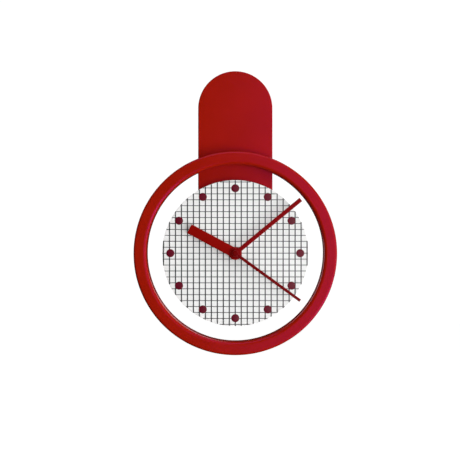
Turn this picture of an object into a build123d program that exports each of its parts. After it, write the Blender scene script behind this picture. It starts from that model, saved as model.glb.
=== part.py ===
from build123d import *
import os
from math import acos, atan2, cos, hypot, pi, radians, sin, tan

# A wall clock. Millimetres, +Z up, the front faces -Y and the wall is the plane Y = 0.
# The origin is the centre of the keyhole that the clock hangs from, on the wall plane.

# ---- driving dimensions: the clock as a whole ----
TOTAL_HEIGHT = 350.0
RING_OUTER_RADIUS = 125.0
RING_WIDTH = 16.0
RING_DEPTH = 22.0
RING_FRONT = -34.0
PLATE_WIDTH = 92.0
PLATE_DEPTH = 22.0
WALL = 2.5
DIAL_RADIUS = 90.0
DIAL_THICKNESS = 2.0
SPACER_THICKNESS = 2.0
MARKER_COUNT = 12
DIAL_EDGE = 0.15
MARKER_CIRCLE = 80.0
MARKER_RADIUS = 5.0
MARKER_HEIGHT = 0.6
MARKER_EDGE = 0.4
SPACER_RADIUS = 30.0
PLATE_EDGE = 1.2
RING_OUTER_EDGE = 3.0
RING_INNER_EDGE = 4.0

# ---- places that follow from them ----
PLATE_RADIUS = PLATE_WIDTH / 2
RING_INNER_RADIUS = RING_OUTER_RADIUS - RING_WIDTH
RING_MIDDLE_RADIUS = RING_OUTER_RADIUS - RING_WIDTH / 2
RING_BACK = RING_FRONT + RING_DEPTH
CENTRE_Z = PLATE_RADIUS - TOTAL_HEIGHT + RING_OUTER_RADIUS
PLATE_FRONT = -PLATE_DEPTH
PLATE_SKIN = PLATE_FRONT + WALL
PLATE_DROP = 22.0
PLATE_LOWER_Z = CENTRE_Z - PLATE_DROP
PLATE_STRAIGHT = -PLATE_LOWER_Z
PLATE_MIDDLE_Z = PLATE_LOWER_Z / 2
DIAL_BACK = PLATE_FRONT - SPACER_THICKNESS
DIAL_FRONT = DIAL_BACK - DIAL_THICKNESS

# ---- hands: clockwise angle from twelve, reach, width, hub radius, back face ----
HAND_THICKNESS = 0.8
HAND_EDGE = 0.2
CAP_HEIGHT = 1.2
CAP_EDGE = 0.8
HOUR_HAND = {"angle": 298.3, "reach": 64.0, "width": 12.2, "hub": 8.0, "back": -32.9}
MINUTE_HAND = {"angle": 50.5, "reach": 104.0, "width": 5.3, "hub": 6.5, "back": -34.8}
SECOND_HAND = {"angle": 126.0, "reach": 98.0, "width": 3.6, "hub": 3.8, "back": -36.6}

# ---- movement: a square quartz module with its shaft above its middle ----
CASE_SIZE = 56.0
CASE_ABOVE = 19.0
CASE_WALL = 1.0
CASE_REAR = -2.5
CASE_FRONT = -18.5
CASE_INNER_FRONT = CASE_FRONT + CASE_WALL
CASE_INNER_REAR = CASE_REAR - CASE_WALL
CASE_MIDDLE = CASE_ABOVE - CASE_SIZE / 2
CASE_CORNER = 2.5
CASE_INSIDE = CASE_SIZE - 2 * CASE_WALL
BAY_TOP = -20.5
BAY_BOTTOM = CASE_ABOVE - CASE_SIZE + CASE_WALL
GEAR_ROOM_BOTTOM = BAY_TOP + CASE_WALL
GEAR_ROOM_TOP = CASE_ABOVE - CASE_WALL
COVER_BOTTOM = BAY_TOP + CASE_WALL / 2
FINGER_NOTCH = 18.0
FINGER_NOTCH_DEPTH = 8.0
MIDDLE_PLATE_FRONT = -12.0
MIDDLE_PLATE_THICKNESS = 0.8
MIDDLE_PLATE_WIDTH = 46.5
MIDDLE_PLATE_HEIGHT = 35.5
MIDDLE_PLATE_CENTRE = (2.75, -0.75)
SECOND_PINION_CLEARANCE = 1.6
MIDDLE_PLATE_REAR = MIDDLE_PLATE_FRONT + MIDDLE_PLATE_THICKNESS
PLATE_POSTS = ((-18.0, -15.0), (17.0, -16.5), (-18.0, 14.0), (17.0, 14.5))
POST_RADIUS = 1.5
PIN_RADIUS = 0.8
PIN_PROUD = 0.3
BEARING_RADIUS = 1.6
BEARING_PROUD = 0.1
COVER_BEARING_DEPTH = 0.5
TAB_THICKNESS = 1.0
TAB_WIDTH = 5.0
TAB_LENGTH = 3.5
TAB_SPACING = 24.0
TAB_MIDDLE = -2.0

# ---- shafts and pipes on the common centre line: outer radius of each ----
RUNNING_GAP = 0.05
SECOND_ARBOR_RADIUS = 0.8
MINUTE_PIPE_RADIUS = 1.75
HOUR_PIPE_RADIUS = 2.6
BUSH_RADIUS = 3.9
BUSH_FLANGE_RADIUS = 5.5
BUSH_END = -32.4
THREAD_EDGE = 0.3
GASKET_RADIUS = 9.0
WASHER_RADIUS = 7.0
WASHER_THICKNESS = 0.4
NUT_ACROSS_FLATS = 11.0
NUT_THICKNESS = 2.0
SETTING_ARBOR_RADIUS = 1.0

# ---- gear train: places of the arbors around the centre line (x, z) ----
PIVOT_RADIUS = 0.5
MESH_CENTRES = 9.0
THIRD_AXIS = (-MESH_CENTRES * cos(radians(20)), MESH_CENTRES * sin(radians(20)))
FIFTH_AXIS = (MESH_CENTRES * cos(radians(40)), MESH_CENTRES * sin(radians(40)))
ROTOR_AXIS = (FIFTH_AXIS[0] + 7.0, FIFTH_AXIS[1])
REVERSER_RADIUS = 9.6
REVERSER_AXIS = (REVERSER_RADIUS * cos(radians(50)), -REVERSER_RADIUS * sin(radians(50)))
CENTRE_AXIS = (0.0, 0.0)
PRESSURE_ANGLE = radians(25)
ADDENDUM = 0.7
DEDENDUM = 1.0
TOOTH_FILL = 0.84

# ---- coil, stator and battery ----
COIL_X = 22.5
COIL_Y = -6.2
COIL_LENGTH = 20.0
COIL_MIDDLE_Z = 1.0
ARM_TOP = (COIL_X, 13.75)
ARM_BOTTOM = (COIL_X, -11.75)
ARM_WIDTH = 3.5
CORE_SCREW_RADIUS = 0.7
CORE_SCREW_HEAD = 1.4
CORE_SCREW_HEAD_HEIGHT = 0.9
CORE_SCREW_LENGTH = 4.0
CORE_LENGTH = 29.0
CORE_WIDTH = 2.4
STATOR_FRONT = -7.4
METAL_THICKNESS = 0.8
BATTERY_RADIUS = 7.25
BATTERY_CAN_LENGTH = 49.2
BUTTON_RADIUS = 2.75
BUTTON_HEIGHT = 1.3
BUTTON_RECESS = 0.3
CAN_EDGE = 0.6
BOARD_REAR = -4.6
BOARD_FRONT = -5.4
BOARD_POSTS = ((-17.5, 8.0), (-9.0, 14.0))
BOARD_POST_RADIUS = 1.2
BOARD_PIN_RADIUS = 0.6
BOARD_CENTRE = (-14.75, 10.5)
BOARD_WIDTH = 20.0
BOARD_HEIGHT = 13.0
CRYSTAL_RADIUS = 1.0
CRYSTAL_LENGTH = 5.5
CRYSTAL_START = (-16.5, 14.5)
BLOB_RADIUS = 2.6
BLOB_HEIGHT = 1.0
BLOB_PLACE = (-10.5, 8.5)
BATTERY_Y = -10.05
BATTERY_Z = (BAY_TOP + BAY_BOTTOM) / 2


def facing(y, centre=(0.0, 0.0)):
    """A plane at depth y that faces the viewer: its x runs right, its y runs up."""
    return Plane(origin=(centre[0], y, centre[1]), x_dir=(1, 0, 0), z_dir=(0, -1, 0))


def on_shaft(y, axis=CENTRE_AXIS):
    """A facing plane whose origin is on an arbor given relative to the hands' shaft."""
    return facing(y, (axis[0], CENTRE_Z + axis[1]))


def along_hand(y, angle):
    """A facing plane on the hands' shaft, turned so that its x runs along the hand."""
    turn = radians(angle)
    return Plane(origin=(0, y, CENTRE_Z), x_dir=(sin(turn), 0, cos(turn)), z_dir=(0, -1, 0))


def facing_right(x, y, z):
    """A plane across the X axis: its x runs to the rear, its y runs up."""
    return Plane(origin=(x, y, z), x_dir=(0, 1, 0), z_dir=(1, 0, 0))


def facing_wall(x):
    """A plane on the wall plane that looks out of the back of the clock."""
    return Plane(origin=(x, 0, 0), x_dir=(1, 0, 0), z_dir=(0, 1, 0))


def front_edges(piece):
    """The outline edges of the face that is nearest to the viewer."""
    return piece.faces().sort_by(Axis.Y)[0].edges()


# ---- back plate and what is screwed to it ----
HANGER_WIDTH = 62.0
HANGER_HEIGHT = 26.0
HANGER_THICKNESS = 1.5
HANGER_SCREW_X = 24.0
HANGER_SCREW_RADIUS = 1.15
HANGER_HEAD_RADIUS = 2.3
HANGER_SCREW_LENGTH = 12.0
HANGER_BOSS_RADIUS = 4.3
HANGER_CORNER = 4.0
KEYHOLE_RADIUS = 4.5
KEYHOLE_SLOT = 4.5
KEYHOLE_RISE = 8.0
RING_SCREW_ANGLES = (-17.0, -7.0, 7.0, 17.0)
RING_SCREW_RADIUS = 1.45
RING_SCREW_HEAD = 2.75
RING_SCREW_HEAD_HEIGHT = 1.9
RING_SCREW_LENGTH = 11.0
RING_SCREW_EDGE = 0.7
CROSS_LENGTH = 2.8
CROSS_WIDTH = 0.6
CROSS_DEPTH = 0.8
RING_BOSS_RADIUS = 3.6
RIB = 1.5
RIB_HEIGHT = 4.0
RIB_HEIGHTS_Z = (-36.0, -96.0, -128.0, -230.0)
RING_LID = 1.5
RING_RIBS = 24
NEST_GAP = 0.3
NEST_SIZE = CASE_SIZE + 2 * NEST_GAP
FIT_GAP = 0.05
PRESS_GAP = 0.01
HOLE_GAP = 0.2
NOTCH_WIDTH = PLATE_WIDTH + 2 * NEST_GAP
NOTCH_HEIGHT = 3 * RING_WIDTH


def ring_screw_places():
    """Places of the ring's screws, on the plate's own plane."""
    return [
        (RING_MIDDLE_RADIUS * sin(radians(angle)), CENTRE_Z + RING_MIDDLE_RADIUS * cos(radians(angle)))
        for angle in RING_SCREW_ANGLES
    ]


with BuildPart() as back_plate:
    with BuildSketch(facing(0, (0, PLATE_MIDDLE_Z))):
        SlotCenterToCenter(PLATE_STRAIGHT, PLATE_WIDTH, rotation=90)
    extrude(amount=PLATE_DEPTH)
    fillet(front_edges(back_plate), PLATE_EDGE)
    with BuildSketch(facing(0, (0, PLATE_MIDDLE_Z))):
        SlotCenterToCenter(PLATE_STRAIGHT, PLATE_WIDTH - 2 * WALL, rotation=90)
    extrude(amount=PLATE_DEPTH - WALL, mode=Mode.SUBTRACT)
    # cross ribs low on the front skin, clipped to the stadium outline
    with BuildSketch(facing(PLATE_SKIN + RIB_HEIGHT, (0, PLATE_MIDDLE_Z))):
        with Locations([(0, z - PLATE_MIDDLE_Z) for z in RIB_HEIGHTS_Z]):
            Rectangle(PLATE_WIDTH, RIB)
        SlotCenterToCenter(PLATE_STRAIGHT, PLATE_WIDTH - WALL, rotation=90, mode=Mode.INTERSECT)
    extrude(amount=RIB_HEIGHT + WALL / 2)
    # a low wall that keeps the movement square
    with BuildSketch(on_shaft(PLATE_SKIN + RIB_HEIGHT)):
        with Locations((0, CASE_MIDDLE)):
            Rectangle(NEST_SIZE + 2 * RIB, NEST_SIZE + 2 * RIB)
            Rectangle(NEST_SIZE, NEST_SIZE, mode=Mode.SUBTRACT)
    extrude(amount=RIB_HEIGHT + WALL / 2)
    # two tall bosses that carry the hanger
    with BuildSketch(facing(-HANGER_THICKNESS)):
        with Locations((-HANGER_SCREW_X, 0), (HANGER_SCREW_X, 0)):
            Circle(HANGER_BOSS_RADIUS)
    extrude(amount=PLATE_DEPTH - HANGER_THICKNESS - WALL / 2)
    with BuildSketch(facing(-HANGER_THICKNESS)):
        with Locations((-HANGER_SCREW_X, 0), (HANGER_SCREW_X, 0)):
            Circle(HANGER_SCREW_RADIUS + FIT_GAP)
    extrude(amount=HANGER_SCREW_LENGTH, mode=Mode.SUBTRACT)
    # holes for the bush and for the ring's screws
    with BuildSketch(on_shaft(0)):
        Circle(BUSH_RADIUS + HOLE_GAP)
    extrude(amount=PLATE_DEPTH, mode=Mode.SUBTRACT)
    with BuildSketch(facing(0)):
        with Locations(ring_screw_places()):
            Circle(RING_SCREW_RADIUS + HOLE_GAP)
    extrude(amount=PLATE_DEPTH, mode=Mode.SUBTRACT)
back_plate.part.label = "back_plate"

with BuildPart() as hanger_plate:
    with BuildSketch(facing(0)):
        RectangleRounded(HANGER_WIDTH, HANGER_HEIGHT, HANGER_CORNER)
        Circle(KEYHOLE_RADIUS, mode=Mode.SUBTRACT)
        with Locations((0, KEYHOLE_RISE / 2)):
            SlotCenterToCenter(KEYHOLE_RISE, KEYHOLE_SLOT, rotation=90, mode=Mode.SUBTRACT)
    extrude(amount=HANGER_THICKNESS)
    with Locations(facing_wall(-HANGER_SCREW_X), facing_wall(HANGER_SCREW_X)):
        CounterSinkHole(HANGER_SCREW_RADIUS + FIT_GAP, HANGER_HEAD_RADIUS + FIT_GAP, depth=HANGER_THICKNESS)
hanger_plate.part.label = "hanger_plate"


def countersunk_screw(x):
    """A countersunk screw whose head is flush with the wall plane at this x."""
    with BuildPart() as screw:
        with BuildSketch(Plane(origin=(x, 0, 0), x_dir=(1, 0, 0), z_dir=(0, 0, 1))):
            with BuildLine():
                Polyline(
                    (0, 0),
                    (HANGER_HEAD_RADIUS, 0),
                    (HANGER_SCREW_RADIUS, HANGER_SCREW_RADIUS - HANGER_HEAD_RADIUS),
                    (HANGER_SCREW_RADIUS, HANGER_SCREW_RADIUS / 2 - HANGER_SCREW_LENGTH),
                    (0, -HANGER_SCREW_LENGTH),
                    close=True,
                )
            make_face()
        revolve(axis=Axis((x, 0, 0), (0, 1, 0)))
        # a cross recess
        with BuildSketch(facing(0, (x, 0))):
            Rectangle(CROSS_LENGTH, CROSS_WIDTH)
            Rectangle(CROSS_WIDTH, CROSS_LENGTH)
        extrude(amount=CROSS_DEPTH, mode=Mode.SUBTRACT)
    return screw.part


with BuildPart() as hanger_screws:
    add(countersunk_screw(-HANGER_SCREW_X))
    add(countersunk_screw(HANGER_SCREW_X))
hanger_screws.part.label = "hanger_screws"

# ---- ring frame: a hollow channel, open at the back, notched over the plate ----
with BuildPart() as ring_frame:
    with BuildSketch(on_shaft(RING_BACK)):
        Circle(RING_OUTER_RADIUS)
        Circle(RING_INNER_RADIUS, mode=Mode.SUBTRACT)
    extrude(amount=RING_DEPTH)
    fillet(front_edges(ring_frame).sort_by(SortBy.RADIUS)[-1], RING_OUTER_EDGE)
    fillet(front_edges(ring_frame).sort_by(SortBy.RADIUS)[0], RING_INNER_EDGE)
    with BuildSketch(on_shaft(RING_BACK)):
        Circle(RING_OUTER_RADIUS - WALL)
        Circle(RING_INNER_RADIUS + WALL, mode=Mode.SUBTRACT)
    extrude(amount=RING_DEPTH - WALL, mode=Mode.SUBTRACT)
    # cross ribs in the channel
    with BuildSketch(on_shaft(RING_BACK - RING_LID)):
        with PolarLocations(RING_MIDDLE_RADIUS, RING_RIBS, start_angle=180 / RING_RIBS):
            Rectangle(RING_WIDTH - WALL, RIB)
    extrude(amount=RING_DEPTH - RING_LID - WALL / 2)
    # bosses for the screws that come through the plate
    with BuildSketch(facing(PLATE_FRONT)):
        with Locations(ring_screw_places()):
            Circle(RING_BOSS_RADIUS)
    extrude(amount=PLATE_FRONT - RING_FRONT - WALL / 2)
    with BuildSketch(facing(PLATE_FRONT)):
        with Locations(ring_screw_places()):
            Circle(RING_SCREW_RADIUS + FIT_GAP)
    extrude(amount=RING_SCREW_LENGTH - WALL, mode=Mode.SUBTRACT)
    # the notch that sits on the plate
    with BuildSketch(facing(RING_BACK)):
        with Locations((0, CENTRE_Z + RING_MIDDLE_RADIUS)):
            Rectangle(NOTCH_WIDTH, NOTCH_HEIGHT)
    extrude(amount=RING_BACK - PLATE_FRONT, mode=Mode.SUBTRACT)
ring_frame.part.label = "ring_frame"

# a flat lid, flush with the ring's rear edge, that closes the channel
with BuildPart() as ring_back_cover:
    with BuildSketch(on_shaft(RING_BACK)):
        Circle(RING_OUTER_RADIUS - WALL - FIT_GAP)
        Circle(RING_INNER_RADIUS + WALL + FIT_GAP, mode=Mode.SUBTRACT)
    extrude(amount=RING_LID)
    with BuildSketch(facing(RING_BACK)):
        with Locations((0, CENTRE_Z + RING_MIDDLE_RADIUS)):
            Rectangle(NOTCH_WIDTH, NOTCH_HEIGHT)
    extrude(amount=RING_LID, mode=Mode.SUBTRACT)
ring_back_cover.part.label = "ring_back_cover"

with BuildPart() as ring_screws:
    with BuildSketch(facing(PLATE_SKIN + RING_SCREW_HEAD_HEIGHT)):
        with Locations(ring_screw_places()):
            Circle(RING_SCREW_HEAD)
    extrude(amount=RING_SCREW_HEAD_HEIGHT)
    fillet(ring_screws.edges().filter_by(GeomType.CIRCLE).group_by(Axis.Y)[-1], RING_SCREW_EDGE)
    with BuildSketch(facing(PLATE_SKIN)):
        with Locations(ring_screw_places()):
            Circle(RING_SCREW_RADIUS)
    extrude(amount=RING_SCREW_LENGTH)
    with BuildSketch(facing(PLATE_SKIN + RING_SCREW_HEAD_HEIGHT)):
        with Locations(ring_screw_places()):
            Rectangle(CROSS_LENGTH, CROSS_WIDTH)
            Rectangle(CROSS_WIDTH, CROSS_LENGTH)
    extrude(amount=CROSS_DEPTH, mode=Mode.SUBTRACT)
ring_screws.part.label = "ring_screws"

# ---- dial ----
with BuildPart() as dial_spacer:
    with BuildSketch(on_shaft(PLATE_FRONT)):
        Circle(SPACER_RADIUS)
        Circle(BUSH_RADIUS + HOLE_GAP, mode=Mode.SUBTRACT)
    extrude(amount=SPACER_THICKNESS)
dial_spacer.part.label = "dial_spacer"

with BuildPart() as dial_disc:
    with BuildSketch(on_shaft(DIAL_BACK)):
        Circle(DIAL_RADIUS)
        Circle(BUSH_RADIUS + HOLE_GAP, mode=Mode.SUBTRACT)
    extrude(amount=DIAL_THICKNESS)
    chamfer(dial_disc.edges().filter_by(GeomType.CIRCLE).group_by(SortBy.RADIUS)[-1], DIAL_EDGE)
dial_disc.part.label = "dial_disc"

with BuildPart() as hour_markers:
    with BuildSketch(on_shaft(DIAL_FRONT)):
        with PolarLocations(MARKER_CIRCLE, MARKER_COUNT):
            Circle(MARKER_RADIUS)
    extrude(amount=MARKER_HEIGHT)
    fillet(hour_markers.edges().group_by(Axis.Y)[0], MARKER_EDGE)
hour_markers.part.label = "hour_markers"


# ---- hands ----
def flat_hand(shape, bore):
    """A flat bar hand with a square end and a round hub, pressed on its pipe or arbor."""
    with BuildPart() as hand:
        with BuildSketch(along_hand(shape["back"], shape["angle"])):
            Rectangle(shape["reach"], shape["width"], align=(Align.MIN, Align.CENTER))
            Circle(shape["hub"])
            Circle(bore, mode=Mode.SUBTRACT)
        extrude(amount=HAND_THICKNESS)
        chamfer(front_edges(hand), HAND_EDGE)
    return hand


hour_hand = flat_hand(HOUR_HAND, HOUR_PIPE_RADIUS + PRESS_GAP)
hour_hand.part.label = "hour_hand"

minute_hand = flat_hand(MINUTE_HAND, MINUTE_PIPE_RADIUS + PRESS_GAP)
minute_hand.part.label = "minute_hand"

second_hand = flat_hand(SECOND_HAND, SECOND_ARBOR_RADIUS + PRESS_GAP)
second_hand.part.label = "second_hand"

with BuildPart() as second_hand_cap:
    with BuildSketch(on_shaft(SECOND_HAND["back"] - HAND_THICKNESS)):
        Circle(SECOND_HAND["hub"])
    extrude(amount=CAP_HEIGHT)
    fillet(second_hand_cap.edges().group_by(Axis.Y)[0], CAP_EDGE)
second_hand_cap.part.label = "second_hand_cap"

# ---- movement case ----
with BuildPart() as movement_case:
    with BuildSketch(on_shaft(CASE_REAR)):
        with Locations((0, CASE_MIDDLE)):
            RectangleRounded(CASE_SIZE, CASE_SIZE, CASE_CORNER)
    extrude(amount=CASE_REAR - CASE_FRONT)
    # gear compartment, with a rebate for its cover
    with BuildSketch(on_shaft(CASE_REAR)):
        with Locations((0, (GEAR_ROOM_TOP + GEAR_ROOM_BOTTOM) / 2)):
            Rectangle(CASE_INSIDE, GEAR_ROOM_TOP - GEAR_ROOM_BOTTOM)
    extrude(amount=CASE_REAR - CASE_INNER_FRONT, mode=Mode.SUBTRACT)
    with BuildSketch(on_shaft(CASE_REAR)):
        with Locations((0, (CASE_ABOVE + COVER_BOTTOM) / 2)):
            Rectangle(CASE_SIZE, CASE_ABOVE - COVER_BOTTOM)
    extrude(amount=CASE_WALL, mode=Mode.SUBTRACT)
    # battery bay, open at the rear
    with BuildSketch(on_shaft(CASE_REAR)):
        with Locations((0, BATTERY_Z)):
            Rectangle(CASE_INSIDE, BAY_TOP - BAY_BOTTOM)
    extrude(amount=CASE_REAR - CASE_INNER_FRONT, mode=Mode.SUBTRACT)
    # finger notch at the bay's lower edge
    with BuildSketch(on_shaft(CASE_REAR)):
        with Locations((0, BAY_BOTTOM - CASE_WALL / 2)):
            Rectangle(FINGER_NOTCH, 3 * CASE_WALL)
    extrude(amount=FINGER_NOTCH_DEPTH, mode=Mode.SUBTRACT)
    # seat of the threaded bush
    with BuildSketch(on_shaft(CASE_REAR)):
        Circle(BUSH_FLANGE_RADIUS + FIT_GAP)
    extrude(amount=CASE_REAR - CASE_FRONT, mode=Mode.SUBTRACT)
    # posts that carry the middle plate, each with a thin locating pin
    with BuildSketch(on_shaft(MIDDLE_PLATE_FRONT)):
        with Locations(PLATE_POSTS):
            Circle(POST_RADIUS)
    extrude(amount=MIDDLE_PLATE_FRONT - CASE_INNER_FRONT)
    with BuildSketch(on_shaft(MIDDLE_PLATE_REAR + PIN_PROUD)):
        with Locations(PLATE_POSTS):
            Circle(PIN_RADIUS)
    extrude(amount=MIDDLE_PLATE_THICKNESS + PIN_PROUD)
    # bearings for the third wheel and the setting arbor
    with BuildSketch(on_shaft(CASE_INNER_FRONT + BEARING_PROUD)):
        with Locations(THIRD_AXIS, REVERSER_AXIS):
            Circle(BEARING_RADIUS)
    extrude(amount=2 * BEARING_PROUD)
    with BuildSketch(on_shaft(CASE_INNER_FRONT + BEARING_PROUD)):
        with Locations(THIRD_AXIS, REVERSER_AXIS):
            Circle(PIVOT_RADIUS + RUNNING_GAP)
    extrude(amount=BEARING_PROUD + CASE_WALL / 2, mode=Mode.SUBTRACT)
movement_case.part.label = "movement_case"

with BuildPart() as movement_cover:
    with BuildSketch(on_shaft(CASE_REAR)):
        with Locations((0, (CASE_ABOVE + COVER_BOTTOM + FIT_GAP) / 2)):
            Rectangle(CASE_SIZE, CASE_ABOVE - COVER_BOTTOM - FIT_GAP)
    extrude(amount=CASE_WALL)
    fillet(movement_cover.edges().filter_by(Axis.Y).group_by(Axis.Z)[-1], CASE_CORNER)
    # spring tabs that snap inside the case walls
    with BuildSketch(on_shaft(CASE_INNER_REAR)):
        with Locations((0, TAB_MIDDLE)):
            with GridLocations(CASE_INSIDE - TAB_THICKNESS - 2 * FIT_GAP, TAB_SPACING, 2, 2):
                Rectangle(TAB_THICKNESS, TAB_WIDTH)
    extrude(amount=TAB_LENGTH)
    # bearings for the arbors, and the way out for the setting arbor
    with BuildSketch(on_shaft(CASE_INNER_REAR)):
        with Locations(CENTRE_AXIS, FIFTH_AXIS, ROTOR_AXIS):
            Circle(BEARING_RADIUS)
    extrude(amount=COVER_BEARING_DEPTH)
    with BuildSketch(on_shaft(CASE_INNER_REAR - COVER_BEARING_DEPTH)):
        with Locations(CENTRE_AXIS, FIFTH_AXIS, ROTOR_AXIS):
            Circle(PIVOT_RADIUS + RUNNING_GAP)
    extrude(amount=-2 * COVER_BEARING_DEPTH, mode=Mode.SUBTRACT)
    with BuildSketch(on_shaft(CASE_REAR)):
        with Locations(REVERSER_AXIS):
            Circle(SETTING_ARBOR_RADIUS + RUNNING_GAP)
    extrude(amount=CASE_WALL, mode=Mode.SUBTRACT)
movement_cover.part.label = "movement_cover"

with BuildPart() as middle_plate:
    with BuildSketch(on_shaft(MIDDLE_PLATE_REAR)):
        with Locations(MIDDLE_PLATE_CENTRE):
            RectangleRounded(MIDDLE_PLATE_WIDTH, MIDDLE_PLATE_HEIGHT, 2)
        Circle(SECOND_PINION_CLEARANCE, mode=Mode.SUBTRACT)
        with Locations(REVERSER_AXIS):
            Circle(SETTING_ARBOR_RADIUS + HOLE_GAP, mode=Mode.SUBTRACT)
        with Locations(PLATE_POSTS):
            Circle(PIN_RADIUS + FIT_GAP, mode=Mode.SUBTRACT)
    extrude(amount=MIDDLE_PLATE_THICKNESS)
    # pivot holes
    with BuildSketch(on_shaft(MIDDLE_PLATE_REAR)):
        with Locations(THIRD_AXIS, FIFTH_AXIS, ROTOR_AXIS):
            Circle(PIVOT_RADIUS + RUNNING_GAP)
    extrude(amount=MIDDLE_PLATE_THICKNESS, mode=Mode.SUBTRACT)
    # posts under the stator's arms, bored for the core screws
    with BuildSketch(on_shaft(STATOR_FRONT)):
        with Locations(ARM_TOP, ARM_BOTTOM):
            Circle(POST_RADIUS)
    extrude(amount=STATOR_FRONT - MIDDLE_PLATE_REAR)
    with BuildSketch(on_shaft(STATOR_FRONT)):
        with Locations(ARM_TOP, ARM_BOTTOM):
            Circle(CORE_SCREW_RADIUS + FIT_GAP)
    extrude(amount=CORE_SCREW_LENGTH - 2 * METAL_THICKNESS + BEARING_PROUD, mode=Mode.SUBTRACT)
    # posts that carry the circuit board
    with BuildSketch(on_shaft(BOARD_FRONT)):
        with Locations(BOARD_POSTS):
            Circle(BOARD_POST_RADIUS)
    extrude(amount=BOARD_FRONT - MIDDLE_PLATE_REAR)
    with BuildSketch(on_shaft(BOARD_REAR + PIN_PROUD)):
        with Locations(BOARD_POSTS):
            Circle(BOARD_PIN_RADIUS)
    extrude(amount=BOARD_REAR - BOARD_FRONT + PIN_PROUD)
middle_plate.part.label = "middle_plate"

# ---- how the movement is clamped to the plate and dial ----
with BuildPart() as threaded_bush:
    with BuildSketch(on_shaft(CASE_INNER_FRONT)):
        Circle(BUSH_FLANGE_RADIUS)
    extrude(amount=CASE_WALL)
    with BuildSketch(on_shaft(CASE_FRONT)):
        Circle(BUSH_RADIUS)
    extrude(amount=CASE_FRONT - BUSH_END)
    chamfer(front_edges(threaded_bush), THREAD_EDGE)
    with BuildSketch(on_shaft(CASE_INNER_FRONT)):
        Circle(HOUR_PIPE_RADIUS + RUNNING_GAP)
    extrude(amount=CASE_INNER_FRONT - BUSH_END, mode=Mode.SUBTRACT)
threaded_bush.part.label = "threaded_bush"

with BuildPart() as rubber_gasket:
    with BuildSketch(on_shaft(CASE_FRONT)):
        Circle(GASKET_RADIUS)
        Circle(BUSH_RADIUS + FIT_GAP, mode=Mode.SUBTRACT)
    extrude(amount=CASE_FRONT - PLATE_SKIN)
rubber_gasket.part.label = "rubber_gasket"

with BuildPart() as bush_washer:
    with BuildSketch(on_shaft(DIAL_FRONT)):
        Circle(WASHER_RADIUS)
        Circle(BUSH_RADIUS + FIT_GAP, mode=Mode.SUBTRACT)
    extrude(amount=WASHER_THICKNESS)
bush_washer.part.label = "bush_washer"

with BuildPart() as bush_nut:
    with BuildSketch(on_shaft(DIAL_FRONT - WASHER_THICKNESS)):
        RegularPolygon(NUT_ACROSS_FLATS / 2, 6, major_radius=False)
        Circle(BUSH_RADIUS + PRESS_GAP, mode=Mode.SUBTRACT)
    extrude(amount=NUT_THICKNESS)
    chamfer(bush_nut.edges().filter_by(GeomType.CIRCLE).group_by(Axis.Y)[0], THREAD_EDGE)
bush_nut.part.label = "bush_nut"


# ---- gears ----
def involute(angle):
    return tan(angle) - angle


def gear_points(teeth, module, phase):
    """Outline of an involute gear with slightly thin teeth; phase is one tooth's direction."""
    pitch = teeth * module / 2
    base = pitch * cos(PRESSURE_ANGLE)
    root = pitch - DEDENDUM * module
    tip = pitch + ADDENDUM * module
    half_at_base = TOOTH_FILL * pi / (2 * teeth) + involute(PRESSURE_ANGLE)
    half_at_pitch = TOOTH_FILL * pi / (2 * teeth)
    half_at_tip = half_at_base - involute(acos(base / tip))
    half_at_root = half_at_base - (involute(acos(base / root)) if root > base else 0.0)
    flank = [(root, half_at_root), (pitch, half_at_pitch), (tip, half_at_tip)]
    points = []
    for tooth in range(teeth):
        middle = phase + tooth * 2 * pi / teeth
        rising = [(radius, middle - half) for radius, half in flank]
        falling = [(radius, middle + half) for radius, half in reversed(flank)]
        points += [(radius * cos(turn), radius * sin(turn)) for radius, turn in rising + falling]
    return points


def meshed_phase(phase, teeth, other_teeth, axis, other_axis):
    """The phase that puts a gap of the other gear on this gear's tooth, on the line of centres."""
    line = atan2(other_axis[1] - axis[1], other_axis[0] - axis[0])
    return line + pi - pi / other_teeth - (phase - line) * teeth / other_teeth


def mesh_module(teeth, other_teeth, axis, other_axis):
    """The module that makes two gears meet at their centre distance."""
    return 2 * hypot(other_axis[0] - axis[0], other_axis[1] - axis[1]) / (teeth + other_teeth)


def wheel_on(axis, gears, rounds, bore=0.0):
    """Toothed slices and round slices on one axis: each gives its size, rear face and front face."""
    with BuildPart() as wheel:
        for teeth, module, phase, rear, front in gears:
            with BuildSketch(on_shaft(rear, axis)):
                with BuildLine():
                    Polyline(*gear_points(teeth, module, phase), close=True)
                make_face()
            extrude(amount=rear - front)
        for radius, rear, front in rounds:
            with BuildSketch(on_shaft(rear, axis)):
                Circle(radius)
            extrude(amount=rear - front)
        if bore:
            with BuildSketch(on_shaft(0, axis)):
                Circle(bore)
            extrude(amount=-2 * SECOND_HAND["back"], mode=Mode.SUBTRACT)
    return wheel


ROTOR_PINION_TEETH = 10
FIFTH_TEETH = 60
FIFTH_PINION_TEETH = 12
SECOND_TEETH = 60
SECOND_PINION_TEETH = 8
THIRD_TEETH = 64
THIRD_PINION_TEETH = 8
MINUTE_TEETH = 60
CANNON_TEETH = 12
REVERSER_TEETH = 36
REVERSER_PINION_TEETH = 10
HOUR_TEETH = 40

rotor_module = mesh_module(FIFTH_TEETH, ROTOR_PINION_TEETH, FIFTH_AXIS, ROTOR_AXIS)
fifth_module = mesh_module(SECOND_TEETH, FIFTH_PINION_TEETH, CENTRE_AXIS, FIFTH_AXIS)
third_module = mesh_module(SECOND_PINION_TEETH, THIRD_TEETH, CENTRE_AXIS, THIRD_AXIS)
minute_module = mesh_module(THIRD_PINION_TEETH, MINUTE_TEETH, THIRD_AXIS, CENTRE_AXIS)
cannon_module = mesh_module(CANNON_TEETH, REVERSER_TEETH, CENTRE_AXIS, REVERSER_AXIS)
hour_module = mesh_module(REVERSER_PINION_TEETH, HOUR_TEETH, REVERSER_AXIS, CENTRE_AXIS)

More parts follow.
